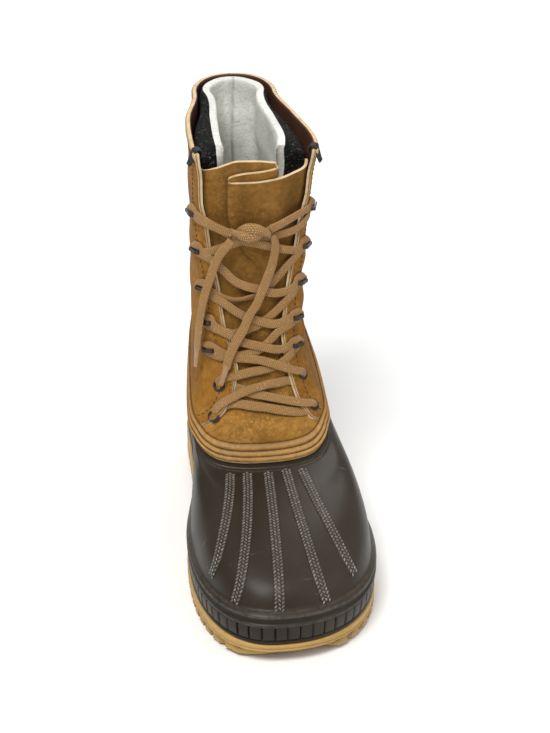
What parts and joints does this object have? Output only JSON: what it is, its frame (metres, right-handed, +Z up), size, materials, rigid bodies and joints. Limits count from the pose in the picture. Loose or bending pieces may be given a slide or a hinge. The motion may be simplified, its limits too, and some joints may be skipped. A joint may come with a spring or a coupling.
{
  "type": "pac boot",
  "caption": "Left pac boot with a ribbed rubber shell on a lugged gum outsole, a laced suede shaft and a thick felt liner that is open at the collar.",
  "frame": {"origin": "on the floor under the middle of the boot, the knot and free ends of the lace left out", "axes": "+Z up from the floor, -Y towards the toe, +X towards the outer side of the foot"},
  "size_m": [0.123, 0.3118, 0.282],
  "materials": {
    "gum_sole": "matte, slightly waxy",
    "rubber_shell": "satin with a fine grain",
    "suede": "napped suede",
    "felt": "thick felt, pale fleece inside",
    "board": "pressed fibre board",
    "dark_metal": "blackened, worn at the edges",
    "tape": "woven tape",
    "lace": "flat woven lace"
  },
  "bodies": {
    "root": {"outsole": "gum_sole", "shell": "rubber_shell", "insole": "board", "upper": "suede", "tongue": "suede", "liner": "felt", "eyelet_out_1": "dark_metal", "eyelet_in_1": "dark_metal", "eyelet_out_2": "dark_metal", "eyelet_in_2": "dark_metal", "hook_out_3": "dark_metal", "hook_in_3": "dark_metal", "hook_out_4": "dark_metal", "hook_in_4": "dark_metal", "hook_out_5": "dark_metal", "hook_in_5": "dark_metal", "hook_out_6": "dark_metal", "hook_in_6": "dark_metal", "hook_out_7": "dark_metal", "hook_in_7": "dark_metal", "tab_out": "tape", "tab_in": "tape", "lace": "lace", "lace_knot": "lace", "lace_end_outer": "lace", "aglet_outer": "tape", "lace_end_inner": "lace", "aglet_inner": "tape"}
  },
  "joints": []
}
